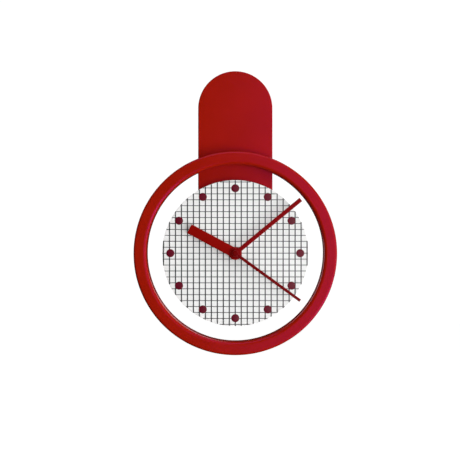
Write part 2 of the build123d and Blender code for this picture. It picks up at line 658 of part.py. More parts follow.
fifth_pinion_phase = meshed_phase(0, SECOND_TEETH, FIFTH_PINION_TEETH, CENTRE_AXIS, FIFTH_AXIS)
rotor_phase = meshed_phase(0, FIFTH_TEETH, ROTOR_PINION_TEETH, FIFTH_AXIS, ROTOR_AXIS)
third_phase = meshed_phase(0, SECOND_PINION_TEETH, THIRD_TEETH, CENTRE_AXIS, THIRD_AXIS)
minute_phase = meshed_phase(0, THIRD_PINION_TEETH, MINUTE_TEETH, THIRD_AXIS, CENTRE_AXIS)
reverser_phase = meshed_phase(0, CANNON_TEETH, REVERSER_TEETH, CENTRE_AXIS, REVERSER_AXIS)
hour_phase = meshed_phase(0, REVERSER_PINION_TEETH, HOUR_TEETH, REVERSER_AXIS, CENTRE_AXIS)

# toothed slices, rear face and front face, from the rotor at the back to the hour wheel
ROTOR_PINION_LAYER = (-8.6, -9.6)
FIFTH_LAYER = (-8.9, -9.4)
FIFTH_PINION_LAYER = (-9.4, -10.9)
SECOND_LAYER = (-10.1, -10.7)
SECOND_PINION_LAYER = (-10.7, -13.4)
THIRD_LAYER = (-12.6, -13.2)
THIRD_PINION_LAYER = (-13.2, -14.7)
MINUTE_LAYER = (-13.9, -14.5)
CANNON_LAYER = (-14.5, -16.0)
REVERSER_LAYER = (-15.1, -15.8)
REVERSER_PINION_LAYER = (-15.8, -17.3)
HOUR_LAYER = (-16.4, -17.2)

# where the pivots end
COVER_PIVOT = -3.7
COVER_SHOULDER = -4.3
PLATE_PIVOT_FRONT = -11.8
PLATE_PIVOT_REAR = -11.4
FRONT_PIVOT = -17.9
MAGNET_RADIUS = 2.6
MAGNET_REAR = -5.8
MAGNET_LENGTH = 2.4
SECOND_ARBOR_STEP = -13.6
KNOB_RADIUS = 5.5
KNOB_REAR = -0.4
KNOB_THICKNESS = 1.7
KNURL_RADIUS = 0.35
KNURL_COUNT = 24

rotor_pinion = wheel_on(
    ROTOR_AXIS,
    [(ROTOR_PINION_TEETH, rotor_module, rotor_phase, *ROTOR_PINION_LAYER)],
    [(0.7, MAGNET_REAR - MAGNET_LENGTH, SECOND_LAYER[1]), (PIVOT_RADIUS, COVER_PIVOT, PLATE_PIVOT_FRONT)],
)
rotor_pinion.part.label = "rotor_pinion"

with BuildPart() as rotor_magnet:
    with BuildSketch(on_shaft(MAGNET_REAR, ROTOR_AXIS)):
        Circle(MAGNET_RADIUS)
        Circle(PIVOT_RADIUS + PRESS_GAP, mode=Mode.SUBTRACT)
    extrude(amount=MAGNET_LENGTH)
    chamfer(rotor_magnet.edges().filter_by(GeomType.CIRCLE).group_by(SortBy.RADIUS)[-1], 0.2)
rotor_magnet.part.label = "rotor_magnet"

fifth_wheel = wheel_on(
    FIFTH_AXIS,
    [
        (FIFTH_TEETH, rotor_module, 0.0, *FIFTH_LAYER),
        (FIFTH_PINION_TEETH, fifth_module, fifth_pinion_phase, *FIFTH_PINION_LAYER),
    ],
    [(1.0, COVER_SHOULDER, FIFTH_LAYER[0]), (PIVOT_RADIUS, COVER_PIVOT, PLATE_PIVOT_FRONT)],
)
fifth_wheel.part.label = "fifth_wheel"

second_wheel = wheel_on(
    CENTRE_AXIS,
    [
        (SECOND_TEETH, fifth_module, 0.0, *SECOND_LAYER),
        (SECOND_PINION_TEETH, third_module, 0.0, *SECOND_PINION_LAYER),
    ],
    [(1.3, COVER_SHOULDER, SECOND_LAYER[0])],
    bore=PIVOT_RADIUS + PRESS_GAP,
)
second_wheel.part.label = "second_wheel"

second_arbor = wheel_on(
    CENTRE_AXIS,
    [],
    [
        (PIVOT_RADIUS, COVER_PIVOT, SECOND_ARBOR_STEP),
        (SECOND_ARBOR_RADIUS, SECOND_ARBOR_STEP, SECOND_HAND["back"] - HAND_THICKNESS),
    ],
)
second_arbor.part.label = "second_arbor"

third_wheel = wheel_on(
    THIRD_AXIS,
    [
        (THIRD_TEETH, third_module, third_phase, *THIRD_LAYER),
        (THIRD_PINION_TEETH, minute_module, 0.0, *THIRD_PINION_LAYER),
    ],
    [(0.8, THIRD_PINION_LAYER[1], HOUR_LAYER[1]), (PIVOT_RADIUS, PLATE_PIVOT_REAR, FRONT_PIVOT)],
)
third_wheel.part.label = "third_wheel"

minute_wheel = wheel_on(
    CENTRE_AXIS,
    [
        (MINUTE_TEETH, minute_module, minute_phase, *MINUTE_LAYER),
        (CANNON_TEETH, cannon_module, 0.0, *CANNON_LAYER),
    ],
    [(MINUTE_PIPE_RADIUS, CANNON_LAYER[1], MINUTE_HAND["back"] - HAND_THICKNESS)],
    bore=SECOND_ARBOR_RADIUS + RUNNING_GAP,
)
minute_wheel.part.label = "minute_wheel"

reverser_wheel = wheel_on(
    REVERSER_AXIS,
    [
        (REVERSER_TEETH, cannon_module, reverser_phase, *REVERSER_LAYER),
        (REVERSER_PINION_TEETH, hour_module, 0.0, *REVERSER_PINION_LAYER),
    ],
    [
        (SETTING_ARBOR_RADIUS, KNOB_REAR - KNOB_THICKNESS / 2, REVERSER_LAYER[0]),
        (PIVOT_RADIUS, REVERSER_PINION_LAYER[1], FRONT_PIVOT),
    ],
)
reverser_wheel.part.label = "reverser_wheel"

hour_wheel = wheel_on(
    CENTRE_AXIS,
    [(HOUR_TEETH, hour_module, hour_phase, *HOUR_LAYER)],
    [(HOUR_PIPE_RADIUS, HOUR_LAYER[0], HOUR_HAND["back"] - HAND_THICKNESS)],
    bore=MINUTE_PIPE_RADIUS + RUNNING_GAP,
)
hour_wheel.part.label = "hour_wheel"

# ---- setting knob: a knurled disc pressed on the rear end of the reverser's arbor ----
with BuildPart() as setting_knob:
    with BuildSketch(on_shaft(KNOB_REAR, REVERSER_AXIS)):
        Circle(KNOB_RADIUS)
        with PolarLocations(KNOB_RADIUS, KNURL_COUNT):
            Circle(KNURL_RADIUS, mode=Mode.SUBTRACT)
    extrude(amount=KNOB_THICKNESS)
    with BuildSketch(on_shaft(KNOB_REAR - KNOB_THICKNESS / 2, REVERSER_AXIS)):
        Circle(SETTING_ARBOR_RADIUS + PRESS_GAP)
    extrude(amount=KNOB_THICKNESS / 2, mode=Mode.SUBTRACT)
setting_knob.part.label = "setting_knob"

# ---- stepping motor: stator, core, bobbin and winding ----
LIMB_WIDTH = 6.0
ROTOR_AIR_GAP = 0.5
POLE_WIDTH = 1.7
ARM_LEFT = ROTOR_AXIS[0] - LIMB_WIDTH / 2
ARM_RIGHT = COIL_X + ARM_WIDTH / 2
ARM_LENGTH = ARM_RIGHT - ARM_LEFT
ARM_MIDDLE_X = (ARM_RIGHT + ARM_LEFT) / 2
CORE_REAR = STATOR_FRONT + 2 * METAL_THICKNESS

with BuildPart() as stator:
    with BuildSketch(on_shaft(STATOR_FRONT + METAL_THICKNESS)):
        with Locations((ROTOR_AXIS[0], COIL_MIDDLE_Z)):
            Rectangle(LIMB_WIDTH, CORE_LENGTH)
        with Locations((ARM_MIDDLE_X, ARM_TOP[1]), (ARM_MIDDLE_X, ARM_BOTTOM[1])):
            Rectangle(ARM_LENGTH, ARM_WIDTH)
        with Locations(ROTOR_AXIS):
            Circle(MAGNET_RADIUS + ROTOR_AIR_GAP + POLE_WIDTH)
            Circle(MAGNET_RADIUS + ROTOR_AIR_GAP, mode=Mode.SUBTRACT)
        with Locations(ARM_TOP, ARM_BOTTOM):
            Circle(CORE_SCREW_RADIUS + FIT_GAP, mode=Mode.SUBTRACT)
    extrude(amount=METAL_THICKNESS)
stator.part.label = "stator"

with BuildPart() as coil_core:
    with BuildSketch(on_shaft(CORE_REAR)):
        with Locations((COIL_X, COIL_MIDDLE_Z)):
            Rectangle(CORE_WIDTH, CORE_LENGTH)
        with Locations(ARM_TOP, ARM_BOTTOM):
            Rectangle(ARM_WIDTH, ARM_WIDTH)
            Circle(CORE_SCREW_RADIUS + FIT_GAP, mode=Mode.SUBTRACT)
    extrude(amount=METAL_THICKNESS)
coil_core.part.label = "coil_core"

with BuildPart() as core_screws:
    with BuildSketch(on_shaft(CORE_REAR + CORE_SCREW_HEAD_HEIGHT)):
        with Locations(ARM_TOP, ARM_BOTTOM):
            Circle(CORE_SCREW_HEAD)
    extrude(amount=CORE_SCREW_HEAD_HEIGHT)
    with BuildSketch(on_shaft(CORE_REAR)):
        with Locations(ARM_TOP, ARM_BOTTOM):
            Circle(CORE_SCREW_RADIUS)
    extrude(amount=CORE_SCREW_LENGTH)
core_screws.part.label = "core_screws"

COIL_BOTTOM = CENTRE_Z + COIL_MIDDLE_Z - COIL_LENGTH / 2
COIL_TOP = COIL_BOTTOM + COIL_LENGTH
BOBBIN_FLANGE = 0.8
TUBE_SIZE = (3.4, 1.9)
FLANGE_SIZE = (5.2, 5.0)
WINDING_SIZE = (4.8, 4.5)
CORE_SLOT = (CORE_WIDTH + 2 * FIT_GAP, METAL_THICKNESS + 2 * FIT_GAP)


def across_coil(z):
    """A level plane on the coil's axis at height z."""
    return Plane(origin=(COIL_X, COIL_Y, z))


with BuildPart() as coil_bobbin:
    with BuildSketch(across_coil(COIL_BOTTOM)):
        Rectangle(*TUBE_SIZE)
    extrude(amount=COIL_LENGTH)
    with BuildSketch(across_coil(COIL_BOTTOM)):
        RectangleRounded(*FLANGE_SIZE, 0.6)
    extrude(amount=BOBBIN_FLANGE)
    with BuildSketch(across_coil(COIL_TOP - BOBBIN_FLANGE)):
        RectangleRounded(*FLANGE_SIZE, 0.6)
    extrude(amount=BOBBIN_FLANGE)
    with BuildSketch(across_coil(COIL_BOTTOM)):
        Rectangle(*CORE_SLOT)
    extrude(amount=COIL_LENGTH, mode=Mode.SUBTRACT)
coil_bobbin.part.label = "coil_bobbin"

with BuildPart() as coil_winding:
    with BuildSketch(across_coil(COIL_BOTTOM + BOBBIN_FLANGE)):
        RectangleRounded(*WINDING_SIZE, 1.0)
        Rectangle(*TUBE_SIZE, mode=Mode.SUBTRACT)
    extrude(amount=COIL_LENGTH - 2 * BOBBIN_FLANGE)
coil_winding.part.label = "coil_winding"

# ---- circuit board ----
with BuildPart() as circuit_board:
    with BuildSketch(on_shaft(BOARD_REAR)):
        with Locations(BOARD_CENTRE):
            RectangleRounded(BOARD_WIDTH, BOARD_HEIGHT, 0.8)
        with Locations(BOARD_POSTS):
            Circle(BOARD_PIN_RADIUS + FIT_GAP, mode=Mode.SUBTRACT)
    extrude(amount=BOARD_REAR - BOARD_FRONT)
circuit_board.part.label = "circuit_board"

CRYSTAL_Y = BOARD_FRONT - CRYSTAL_RADIUS - FIT_GAP

with BuildPart() as quartz_crystal:
    with BuildSketch(facing_right(CRYSTAL_START[0], CRYSTAL_Y, CENTRE_Z + CRYSTAL_START[1])):
        Circle(CRYSTAL_RADIUS)
    extrude(amount=CRYSTAL_LENGTH)
    fillet(quartz_crystal.edges().group_by(Axis.X)[-1], 0.3)
quartz_crystal.part.label = "quartz_crystal"

with BuildPart() as chip_blob:
    with BuildSketch(on_shaft(BOARD_FRONT)):
        with Locations(BLOB_PLACE):
            Circle(BLOB_RADIUS)
    extrude(amount=BLOB_HEIGHT)
    fillet(chip_blob.edges().group_by(Axis.Y)[0], 0.8 * BLOB_HEIGHT)
chip_blob.part.label = "chip_blob"

# ---- battery and its contacts ----
battery_plane = facing_right(-BATTERY_CAN_LENGTH / 2, BATTERY_Y, CENTRE_Z + BATTERY_Z)

with BuildPart() as battery_can:
    with BuildSketch(battery_plane):
        Circle(BATTERY_RADIUS)
    extrude(amount=BATTERY_CAN_LENGTH)
    fillet(battery_can.edges().filter_by(GeomType.CIRCLE), CAN_EDGE)
    with BuildSketch(battery_plane.offset(BATTERY_CAN_LENGTH)):
        Circle(BUTTON_RADIUS + 2 * BUTTON_RECESS)
    extrude(amount=-BUTTON_RECESS, mode=Mode.SUBTRACT)
battery_can.part.label = "battery_can"

with BuildPart() as battery_button:
    with BuildSketch(battery_plane.offset(BATTERY_CAN_LENGTH - BUTTON_RECESS)):
        Circle(BUTTON_RADIUS)
    extrude(amount=BUTTON_HEIGHT + BUTTON_RECESS)
    fillet(battery_button.edges().group_by(Axis.X)[-1], BUTTON_RECESS)
battery_button.part.label = "battery_button"

BAY_HALF = CASE_SIZE / 2 - CASE_WALL
STRIP = 0.4
CONTACT_WIDTH = 11.0
CONTACT_HEIGHT = 9.0
DIMPLE_RADIUS = 1.8
DIMPLE_HEIGHT = 0.6
LEAF_WIDTH = 5.0
LEAF_OUTER = 4.5
LEAF_INNER = LEAF_OUTER - STRIP

with BuildPart() as battery_contact_positive:
    with BuildSketch(facing_right(BAY_HALF, BATTERY_Y, CENTRE_Z + BATTERY_Z)):
        RectangleRounded(CONTACT_WIDTH, CONTACT_HEIGHT, 1)
    extrude(amount=-STRIP)
    # the dimple that meets the cell's button
    with BuildSketch(facing_right(BAY_HALF - STRIP, BATTERY_Y, CENTRE_Z + BATTERY_Z)):
        Circle(DIMPLE_RADIUS)
    extrude(amount=-DIMPLE_HEIGHT, taper=30)
battery_contact_positive.part.label = "battery_contact_positive"

SPRING_REACH = BAY_HALF - STRIP - BATTERY_CAN_LENGTH / 2 - 0.1

with BuildPart() as battery_contact_negative:
    with BuildSketch(facing_right(-BAY_HALF, BATTERY_Y, CENTRE_Z + BATTERY_Z)):
        RectangleRounded(CONTACT_WIDTH, CONTACT_HEIGHT, 1)
    extrude(amount=STRIP)
    # a bowed leaf that presses on the cell
    with BuildSketch(Plane(origin=(STRIP - BAY_HALF, BATTERY_Y, CENTRE_Z + BATTERY_Z - LEAF_WIDTH / 2))):
        with BuildLine():
            ThreePointArc((0, -LEAF_OUTER), (SPRING_REACH, 0), (0, LEAF_OUTER))
            Line((0, LEAF_OUTER), (0, LEAF_INNER))
            ThreePointArc((0, LEAF_INNER), (SPRING_REACH - STRIP, 0), (0, -LEAF_INNER))
            Line((0, -LEAF_INNER), (0, -LEAF_OUTER))
        make_face()
    extrude(amount=LEAF_WIDTH)
battery_contact_negative.part.label = "battery_contact_negative"

# ---- one STEP for each piece ----
os.makedirs("parts", exist_ok=True)
export_step(back_plate.part, "parts/back_plate.step")
export_step(hanger_plate.part, "parts/hanger_plate.step")
export_step(hanger_screws.part, "parts/hanger_screws.step")
export_step(ring_frame.part, "parts/ring_frame.step")
export_step(ring_back_cover.part, "parts/ring_back_cover.step")
export_step(ring_screws.part, "parts/ring_screws.step")
export_step(dial_spacer.part, "parts/dial_spacer.step")
export_step(dial_disc.part, "parts/dial_disc.step")
export_step(hour_markers.part, "parts/hour_markers.step")
export_step(hour_hand.part, "parts/hour_hand.step")
export_step(minute_hand.part, "parts/minute_hand.step")
export_step(second_hand.part, "parts/second_hand.step")
export_step(second_hand_cap.part, "parts/second_hand_cap.step")
export_step(movement_case.part, "parts/movement_case.step")
export_step(movement_cover.part, "parts/movement_cover.step")
export_step(middle_plate.part, "parts/middle_plate.step")
export_step(threaded_bush.part, "parts/threaded_bush.step")
export_step(rubber_gasket.part, "parts/rubber_gasket.step")
export_step(bush_washer.part, "parts/bush_washer.step")
export_step(bush_nut.part, "parts/bush_nut.step")
export_step(rotor_pinion.part, "parts/rotor_pinion.step")
export_step(rotor_magnet.part, "parts/rotor_magnet.step")
export_step(fifth_wheel.part, "parts/fifth_wheel.step")
export_step(second_wheel.part, "parts/second_wheel.step")
export_step(second_arbor.part, "parts/second_arbor.step")
export_step(third_wheel.part, "parts/third_wheel.step")
export_step(minute_wheel.part, "parts/minute_wheel.step")
export_step(reverser_wheel.part, "parts/reverser_wheel.step")
export_step(hour_wheel.part, "parts/hour_wheel.step")
export_step(setting_knob.part, "parts/setting_knob.step")
export_step(stator.part, "parts/stator.step")
export_step(coil_core.part, "parts/coil_core.step")
export_step(core_screws.part, "parts/core_screws.step")
export_step(coil_bobbin.part, "parts/coil_bobbin.step")
export_step(coil_winding.part, "parts/coil_winding.step")
export_step(circuit_board.part, "parts/circuit_board.step")
export_step(quartz_crystal.part, "parts/quartz_crystal.step")
export_step(chip_blob.part, "parts/chip_blob.step")
export_step(battery_can.part, "parts/battery_can.step")
export_step(battery_button.part, "parts/battery_button.step")
export_step(battery_contact_positive.part, "parts/battery_contact_positive.step")
export_step(battery_contact_negative.part, "parts/battery_contact_negative.step")
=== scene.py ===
from math import asin, cos, pi, radians, sin, sqrt

import bmesh
import bpy
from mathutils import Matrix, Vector


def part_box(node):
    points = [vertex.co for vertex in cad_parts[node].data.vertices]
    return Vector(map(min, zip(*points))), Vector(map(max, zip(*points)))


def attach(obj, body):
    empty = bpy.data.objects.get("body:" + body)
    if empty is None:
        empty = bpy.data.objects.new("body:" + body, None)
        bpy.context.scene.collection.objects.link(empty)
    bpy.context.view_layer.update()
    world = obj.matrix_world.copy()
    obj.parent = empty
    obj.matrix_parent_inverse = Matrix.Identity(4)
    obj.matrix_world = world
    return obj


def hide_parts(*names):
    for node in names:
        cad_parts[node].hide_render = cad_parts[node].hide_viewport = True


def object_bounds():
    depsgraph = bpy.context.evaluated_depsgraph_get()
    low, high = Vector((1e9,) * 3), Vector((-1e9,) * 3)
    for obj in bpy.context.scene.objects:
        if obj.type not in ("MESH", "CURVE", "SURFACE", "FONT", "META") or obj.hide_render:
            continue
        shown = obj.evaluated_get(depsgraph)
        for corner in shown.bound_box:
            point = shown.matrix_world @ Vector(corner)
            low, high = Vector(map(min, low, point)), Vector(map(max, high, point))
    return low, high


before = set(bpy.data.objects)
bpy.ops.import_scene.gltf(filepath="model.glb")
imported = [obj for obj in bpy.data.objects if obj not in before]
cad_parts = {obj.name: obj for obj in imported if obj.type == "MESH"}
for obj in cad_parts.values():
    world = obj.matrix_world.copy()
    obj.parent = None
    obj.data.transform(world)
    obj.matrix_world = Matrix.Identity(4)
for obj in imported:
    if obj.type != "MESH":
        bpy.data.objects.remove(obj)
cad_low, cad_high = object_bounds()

MM = 0.001

# ---- places and sizes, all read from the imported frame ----
plate_low, plate_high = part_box("back_plate")
ring_low, ring_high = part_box("ring_frame")
dial_low, dial_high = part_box("dial_disc")
marker_low, marker_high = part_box("hour_markers")
cap_low, cap_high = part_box("second_hand_cap")

shaft_x = (dial_low.x + dial_high.x) / 2
shaft_z = (dial_low.z + dial_high.z) / 2
plate_width = plate_high.x - plate_low.x
plate_radius = plate_width / 2
ring_radius = (ring_high.x - ring_low.x) / 2
dial_radius = (dial_high.x - dial_low.x) / 2

RING_WIDTH = 16 * MM
WALL = 2.5 * MM
SKIN_REAR = plate_low.y + WALL
SHAFT_HOLE = 4.1 * MM
PAST = 1 * MM  # how far a cutting shape runs past the faces that it cuts
POLE = 0.02 * MM  # the radius at which a turned dome is closed by a flat cap
TOUCH = 1e-7  # distances below this count as nothing
SMOOTH_ANGLE = radians(32)


# ---- mesh helpers ----
def piece_from(name, body, finishes, replaced):
    """Turns a bmesh into a finished piece; the caller hangs it on a CAD body."""
    mesh = bpy.data.meshes.new(name)
    body.normal_update()
    body.to_mesh(mesh)
    body.free()
    made = bpy.data.objects.new(name, mesh)
    bpy.context.scene.collection.objects.link(made)
    return dressed(made, finishes, replaced)


def dressed(made, finishes, replaced):
    """Shades a piece, gives it its finishes and hides the CAD nodes that it stands for."""
    mesh = made.data
    mesh.shade_smooth()
    mesh.set_sharp_from_angle(angle=SMOOTH_ANGLE)
    mesh.materials.clear()
    for finish in finishes:
        mesh.materials.append(finish)
    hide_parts(*replaced)
    return made


def loft(body, loops, closed=False):
    """Joins loops of equal length into a skin, closed end to end or capped at both ends."""
    rows = [[body.verts.new(point) for point in loop] for loop in loops]
    pairs = list(zip(rows, rows[1:]))
    if closed:
        pairs.append((rows[-1], rows[0]))
    for lower, upper in pairs:
        count = len(lower)
        for i in range(count):
            j = (i + 1) % count
            body.faces.new((lower[i], lower[j], upper[j], upper[i]))
    if not closed:
        body.faces.new(list(reversed(rows[0])))
        body.faces.new(rows[-1])


def outward(body):
    """Makes every face of the closed shells in a bmesh look outwards."""
    bmesh.ops.remove_doubles(body, verts=body.verts, dist=TOUCH)
    bmesh.ops.recalc_face_normals(body, faces=body.faces)
    return body


def quarter(radius, steps):
    """A quarter round as (along, across) offsets, from flat on one side to flat on the other."""
    turns = [pi / 2 * step / steps for step in range(steps + 1)]
    return [(radius * (1 - cos(turn)), radius * (1 - sin(turn))) for turn in turns]


def turned(profile, centre=(0, 0), steps=96, closed=True):
    """Revolves (radius, y) points about a front-to-back axis at centre (x, z)."""
    body = bmesh.new()
    loops = []
    for radius, depth in profile:
        turns = [2 * pi * k / steps for k in range(steps)]
        loops.append([
            (centre[0] + radius * cos(turn), depth, centre[1] + radius * sin(turn)) for turn in turns
        ])
    loft(body, loops, closed=closed)
    return outward(body)


def stadium(inset, depth, arc_steps=48):
    """The back plate's outline, moved inwards by inset, at depth y."""
    radius = plate_radius - inset
    top = plate_high.z - plate_radius
    bottom = plate_low.z + plate_radius
    points = []
    for k in range(arc_steps + 1):
        turn = pi * k / arc_steps
        points.append((shaft_x + radius * cos(turn), depth, top + radius * sin(turn)))
    for k in range(arc_steps + 1):
        turn = pi + pi * k / arc_steps
        points.append((shaft_x + radius * cos(turn), depth, bottom + radius * sin(turn)))
    return points


def block(low, high):
    """A closed box between two corners."""
    body = bmesh.new()
    bmesh.ops.create_cube(body, size=1.0)
    for vertex in body.verts:
        vertex.co = [low[i] if vertex.co[i] < 0 else high[i] for i in range(3)]
    return outward(body)


def rod(centre, radius, rear, front, steps=48):
    """A closed round rod from front to back at centre (x, z)."""
    return turned([(radius, rear), (radius, front)], centre, steps, closed=False)


def combine(base, tools, operation):
    """Adds or cuts closed tool shells from a base shell and returns the result as a bmesh."""
    objects = []
    for index, shell in enumerate([base, *tools]):
        mesh = bpy.data.meshes.new(f"shell_{index}")
        shell.to_mesh(mesh)
        shell.free()
        made = bpy.data.objects.new(f"shell_{index}", mesh)
        bpy.context.scene.collection.objects.link(made)
        objects.append(made)
    target = objects[0]
    for tool in objects[1:]:
        step = target.modifiers.new("combine", "BOOLEAN")
        step.operation = operation
        step.solver = "EXACT"
        step.object = tool
    evaluated = target.evaluated_get(bpy.context.evaluated_depsgraph_get())
    mesh = bpy.data.meshes.new_from_object(evaluated)
    result = bmesh.new()
    result.from_mesh(mesh)
    for made in objects:
        used = made.data
        bpy.data.objects.remove(made)
        bpy.data.meshes.remove(used)
    bpy.data.meshes.remove(mesh)
    return result


# ---- finishes ----
def node(tree, kind, **values):
    """A node whose named inputs or properties are set to the values given."""
    made = tree.nodes.new(kind)
    for key, value in values.items():
        if key in made.inputs:
            made.inputs[key].default_value = value
        else:
            setattr(made, key, value)
    return made


def shaded(colour, factor):
    """A colour made darker or lighter, with its alpha."""
    return (*(min(1.0, channel * factor) for channel in colour), 1.0)


def surface(name, colour, roughness, metallic=0.0, coat=0.0, tint=None, level=0.5):
    """A Principled material, ready for its patterns on Object coordinates."""
    made = bpy.data.materials.new(name)
    made.use_nodes = True
    tree = made.node_tree
    shader = tree.nodes["Principled BSDF"]
    shader.inputs["Base Color"].default_value = (*colour, 1.0)
    shader.inputs["Roughness"].default_value = roughness
    shader.inputs["Metallic"].default_value = metallic
    shader.inputs["Coat Weight"].default_value = coat
    shader.inputs["Specular IOR Level"].default_value = level
    if tint:
        shader.inputs["Specular Tint"].default_value = (*tint, 1.0)
    made.diffuse_color = (*colour, 1.0)
    return made, tree, shader


def pattern(tree, kind, scale, centre=(0, 0, 0), **values):
    """A texture on Object coordinates, moved to centre and stretched by scale."""
    place = node(tree, "ShaderNodeTexCoord")
    mapping = node(tree, "ShaderNodeMapping", Scale=scale)
    mapping.inputs["Location"].default_value = [-c * s for c, s in zip(centre, scale)]
    tree.links.new(place.outputs["Object"], mapping.inputs["Vector"])
    texture = node(tree, kind, **values)
    tree.links.new(mapping.outputs["Vector"], texture.inputs["Vector"])
    return texture


def spread(tree, source, low, high, from_low=0.3, from_high=0.7):
    """Maps a texture's value to a range and returns the socket."""
    ranged = node(tree, "ShaderNodeMapRange")
    ranged.inputs["From Min"].default_value = from_low
    ranged.inputs["From Max"].default_value = from_high
    ranged.inputs["To Min"].default_value = low
    ranged.inputs["To Max"].default_value = high
    tree.links.new(source, ranged.inputs["Value"])
    return ranged.outputs["Result"]


def cloud_tone(tree, shader, cloud, colour, darkest, lightest):
    """Colours the shader between two shades of a colour, by a cloudy texture."""
    share = spread(tree, cloud.outputs["Fac"], 0.0, 1.0)
    mix = node(tree, "ShaderNodeMix", data_type="RGBA")
    tree.links.new(share, mix.inputs[0])
    mix.inputs[6].default_value = shaded(colour, darkest)
    mix.inputs[7].default_value = shaded(colour, lightest)
    tree.links.new(mix.outputs[2], shader.inputs["Base Color"])


def raise_surface(tree, shader, height, strength, distance):
    """Bumps the shader's normal by a height socket."""
    bump = node(tree, "ShaderNodeBump", Strength=strength, Distance=distance)
    tree.links.new(height, bump.inputs["Height"])
    tree.links.new(bump.outputs["Normal"], shader.inputs["Normal"])


def moulded(name, colour, roughness, shade=0.05, blotch=28, grain=1400, depth=0.02, **extra):
    """Moulded plastic: faint flow marks in the colour, uneven gloss and a fine grain."""
    made, tree, shader = surface(name, colour, roughness, **extra)
    flow = pattern(tree, "ShaderNodeTexNoise", (1, 1, 1), Scale=blotch, Detail=3.0)
    grit = pattern(tree, "ShaderNodeTexNoise", (1, 1, 1), Scale=grain, Detail=2.0)
    cloud_tone(tree, shader, flow, colour, 1 - shade, 1 + shade)
    gloss = spread(tree, flow.outputs["Fac"], roughness * 0.88, roughness * 1.12)
    tree.links.new(gloss, shader.inputs["Roughness"])
    raise_surface(tree, shader, grit.outputs["Fac"], 0.35, depth * MM)
    return made


def brushed(name, colour, roughness, stretch, shade=0.10):
    """Plated or rolled metal with fine lines along the axis that is stretched least."""
    made, tree, shader = surface(name, colour, roughness, metallic=1.0)
    lines = pattern(tree, "ShaderNodeTexNoise", stretch, Scale=1.0, Detail=4.0)
    cloud = pattern(tree, "ShaderNodeTexNoise", (1, 1, 1), Scale=180, Detail=3.0)
    cloud_tone(tree, shader, cloud, colour, 1 - shade, 1 + shade)
    gloss = spread(tree, lines.outputs["Fac"], roughness * 0.75, roughness * 1.3)
    tree.links.new(gloss, shader.inputs["Roughness"])
    raise_surface(tree, shader, lines.outputs["Fac"], 0.3, 0.01 * MM)
    return made


LATHE_PITCH = 0.12 * MM


def lathe_cut(name, colour, roughness, centre):
    """Turned metal: fine rings about a front-to-back axis at centre."""
    made, tree, shader = surface(name, colour, roughness, metallic=1.0)
    rings = pattern(
        tree, "ShaderNodeTexWave", (1 / LATHE_PITCH,) * 3, centre,
        wave_type="RINGS", rings_direction="Y", Scale=0.31, Distortion=0.6, Detail=2.0,
    )
    cloud = pattern(tree, "ShaderNodeTexNoise", (1, 1, 1), Scale=260, Detail=3.0)
    cloud_tone(tree, shader, cloud, colour, 0.9, 1.08)
    gloss = spread(tree, cloud.outputs["Fac"], roughness * 0.8, roughness * 1.25)
    tree.links.new(gloss, shader.inputs["Roughness"])
    raise_surface(tree, shader, rings.outputs["Fac"], 0.25, 0.01 * MM)
    return made


RED = (0.317, 0.0088, 0.0012)
HAND_RED = (0.250, 0.0040, 0.0018)
# painted shade: a darker red that stands in for the shade on the hands' rounded edges and sides
HAND_EDGE_SHADE_RED = (0.140, 0.0015, 0.0010)
MARKER_RED = (0.120, 0.0040, 0.0150)

red_plastic = moulded("red_moulding", RED, 0.19, tint=(1.0, 0.0, 0.9), level=0.16)


def enamelled(name, red_scale):
    """The hands' lacquer: its face, and a darker copy on the rounded edges and sides that paints the shade
    those edges take on.
    """
    face = tuple(channel * red_scale for channel in HAND_RED)
    rim = tuple(channel * red_scale for channel in HAND_EDGE_SHADE_RED)
    kept = {"shade": 0.04, "blotch": 90, "grain": 2600, "depth": 0.008, "tint": (1.0, 0.1, 0.3)}
    return [
        moulded(f"{name}_enamel", face, 0.3, level=0.13, **kept),
        moulded(f"{name}_rim", rim, 0.35, level=0.08, **kept),
    ]


# The minute and second hands get darker copies of the same red.
hour_enamel = enamelled("hour", 1.0)
minute_enamel = enamelled("minute", 0.72)
second_enamel = enamelled("second", 0.56)
marker_gloss = moulded(
    "marker_gloss", MARKER_RED, 0.22, shade=0.05, blotch=200, grain=2500, depth=0.006, level=0.2
)
dial_white = moulded("dial_card", (0.86, 0.86, 0.855), 0.55, shade=0.012, blotch=60, grain=3000, depth=0.01)
grid_ink = moulded("grid_ink", (0.030, 0.030, 0.032), 0.5, shade=0.35, blotch=700, grain=4000, depth=0.01)
spacer_white = moulded("spacer_white", (0.70, 0.70, 0.69), 0.5)
case_black = moulded(
    "case_black", (0.016, 0.016, 0.017), 0.46, shade=0.25, blotch=120, grain=5200, depth=0.05
)
frame_white = moulded("frame_white", (0.74, 0.74, 0.71), 0.42)
gear_white = moulded("gear_white", (0.80, 0.79, 0.74), 0.34, blotch=300)
rubber_black = moulded(
    "rubber_black", (0.018, 0.018, 0.018), 0.75, shade=0.3, blotch=300, grain=3500, depth=0.06
)
board_green = moulded("board_green", (0.018, 0.13, 0.05), 0.3, shade=0.25, blotch=420)
blob_black = moulded("blob_black", (0.010, 0.010, 0.011), 0.12, blotch=300)
cell_sleeve = moulded("cell_sleeve", (0.020, 0.045, 0.14), 0.22, shade=0.15, blotch=260, coat=0.6)
magnet_grey = moulded("magnet_grey", (0.07, 0.07, 0.075), 0.55, metallic=0.7, shade=0.2, blotch=600)
zinc_plate = brushed("zinc_plate", (0.60, 0.60, 0.59), 0.34, (900, 900, 6000))
zinc_screw = brushed("zinc_screw", (0.62, 0.61, 0.58), 0.30, (2500, 2500, 2500))
stator_steel = brushed("stator_steel", (0.45, 0.46, 0.47), 0.38, (6000, 900, 900))
contact_nickel = brushed("contact_nickel", (0.66, 0.64, 0.60), 0.28, (900, 5000, 900))
cell_nickel = brushed("cell_nickel", (0.74, 0.73, 0.71), 0.22, (2500, 2500, 2500))
crystal_can = brushed("crystal_can", (0.70, 0.70, 0.72), 0.30, (900, 4000, 4000))
